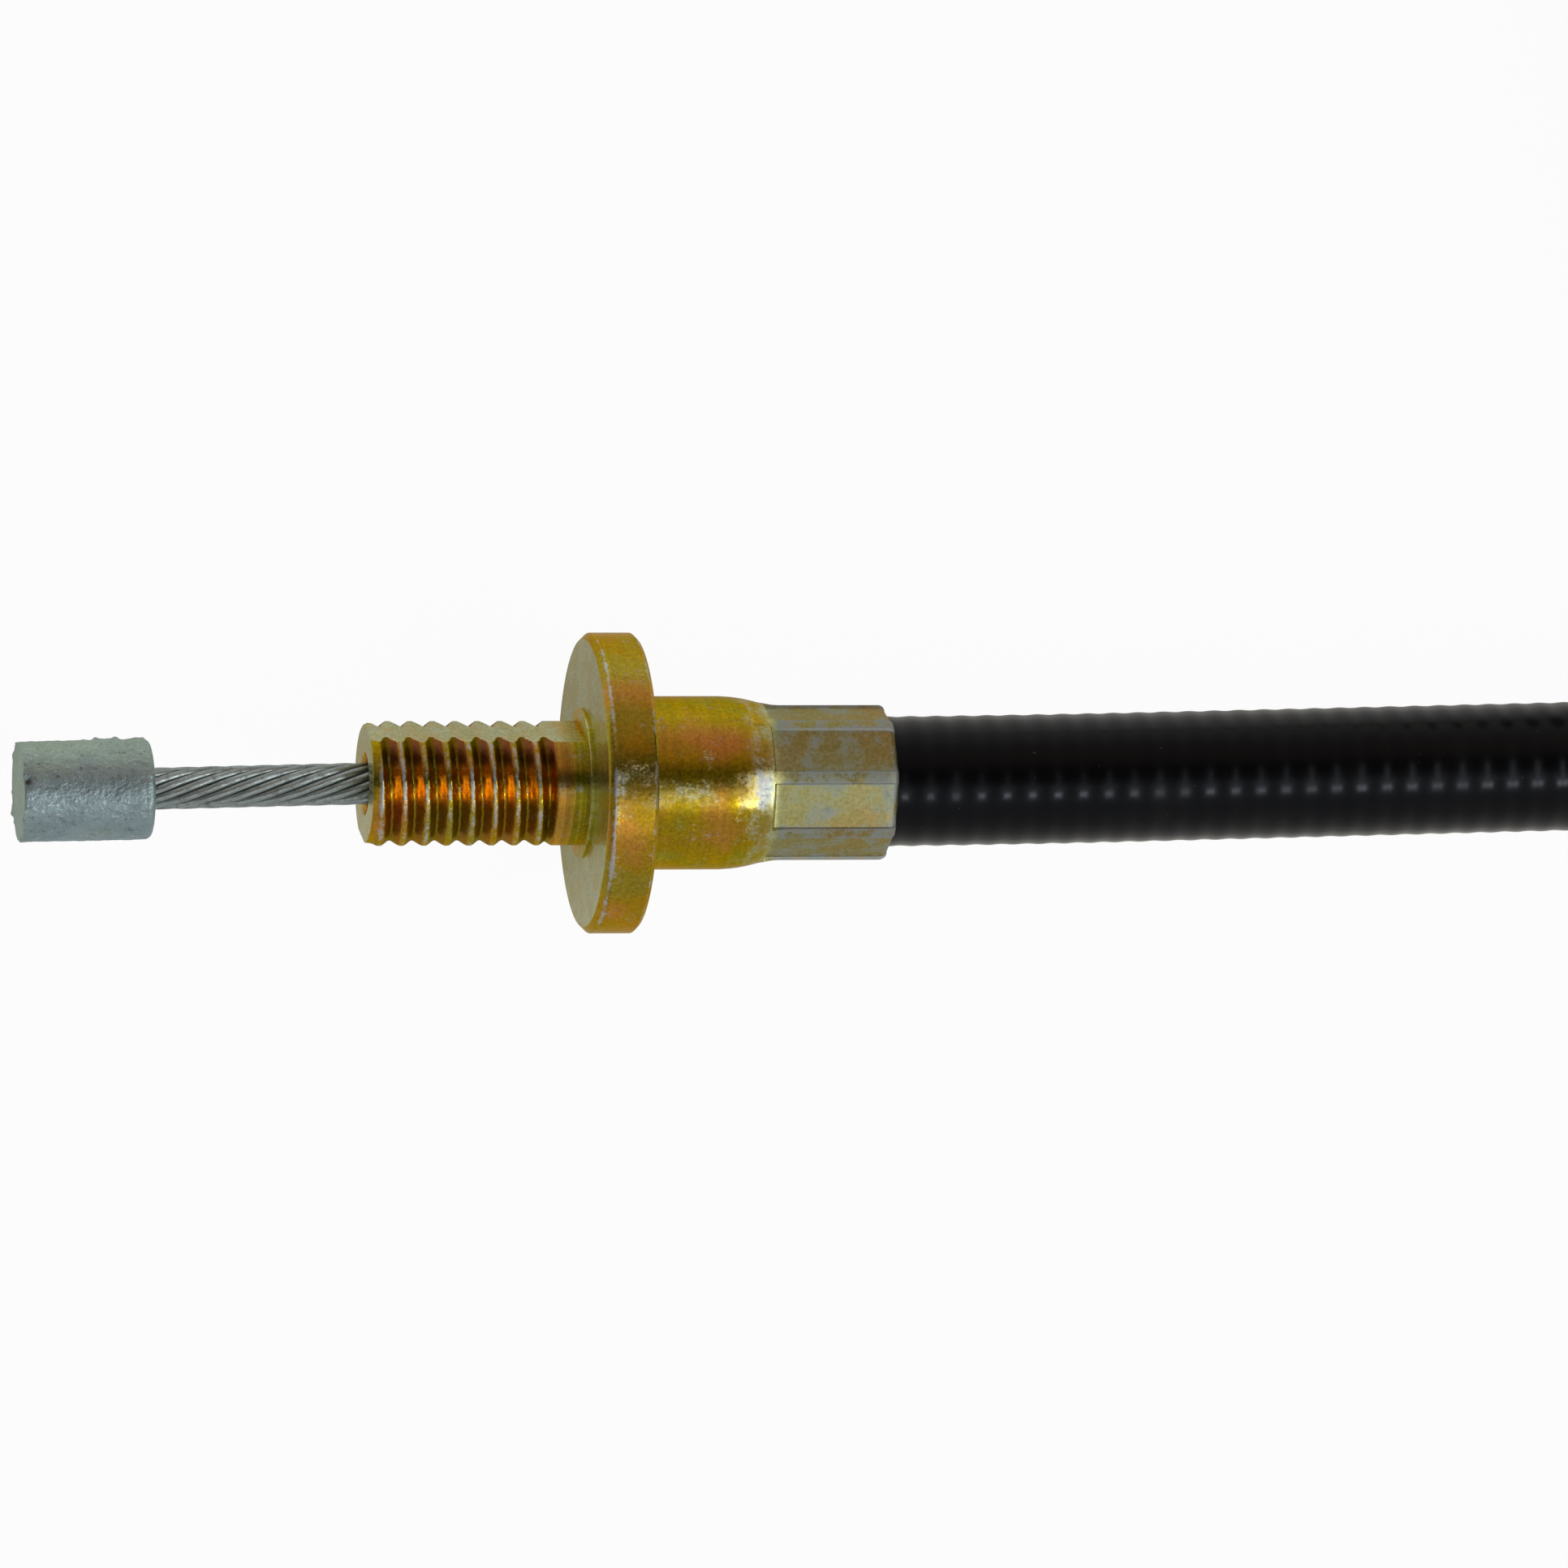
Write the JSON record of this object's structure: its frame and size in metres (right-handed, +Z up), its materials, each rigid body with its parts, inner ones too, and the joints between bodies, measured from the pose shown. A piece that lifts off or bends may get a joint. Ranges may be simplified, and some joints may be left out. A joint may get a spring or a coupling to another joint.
{
  "type": "sleeved pull cable",
  "caption": "End of a sleeved pull cable: barrel nipple on a stranded cable that slides in a flanged, flatted and crimped end fitting on an armoured conduit, with the rest coiled beside it.",
  "frame": {"origin": "on the surface that the cable lies on, under the middle of the near end, from the nipple's free face to the crimped sleeve's mouth", "axes": "+X along the cable from the nipple to the conduit, +Z up from the surface"},
  "size_m": [0.2088, 0.1134, 0.0199],
  "materials": {
    "passivated_steel": "zinc plated and yellow passivated, worn silver on edges",
    "cast_zinc": "dull grey die-cast zinc with a sandy cast skin",
    "cable_steel": "dull galvanised wire",
    "armour_steel": "bright spiral wire",
    "jacket_plastic": "black extruded plastic, slightly glossy",
    "liner_plastic": "slippery white plastic"
  },
  "bodies": {
    "casing": {"end_fitting": "passivated_steel", "conduit_jacket": "jacket_plastic", "conduit_armour": "armour_steel", "conduit_liner": "liner_plastic", "conduit_coil": "jacket_plastic", "tail_jacket": "jacket_plastic", "tail_armour": "armour_steel", "tail_liner": "liner_plastic", "far_ferrule": "passivated_steel"},
    "near_cable": {"cable_nipple": "cast_zinc", "core_wire": "cable_steel", "inner_wire_1": "cable_steel", "inner_wire_2": "cable_steel", "inner_wire_3": "cable_steel", "inner_wire_4": "cable_steel", "inner_wire_5": "cable_steel", "inner_wire_6": "cable_steel", "outer_wire_01": "cable_steel", "outer_wire_02": "cable_steel", "outer_wire_03": "cable_steel", "outer_wire_04": "cable_steel", "outer_wire_05": "cable_steel", "outer_wire_06": "cable_steel", "outer_wire_07": "cable_steel", "outer_wire_08": "cable_steel", "outer_wire_09": "cable_steel", "outer_wire_10": "cable_steel", "outer_wire_11": "cable_steel", "outer_wire_12": "cable_steel"},
    "far_cable": {"far_inner_cable": "cable_steel", "far_nipple": "cast_zinc"}
  },
  "joints": [
    {"name": "near_pull", "type": "slide", "parent": "casing", "child": "near_cable", "axis": [-1, 0, 0], "range_m": [-0.0135, 0.0195]},
    {"name": "far_pull", "type": "slide", "parent": "casing", "child": "far_cable", "axis": [-1, 0, 0], "range_m": [-0.0195, 0.0135]}
  ],
  "couplings": [
    {"joint": "far_pull", "follows": "near_pull", "ratio": -1}
  ]
}
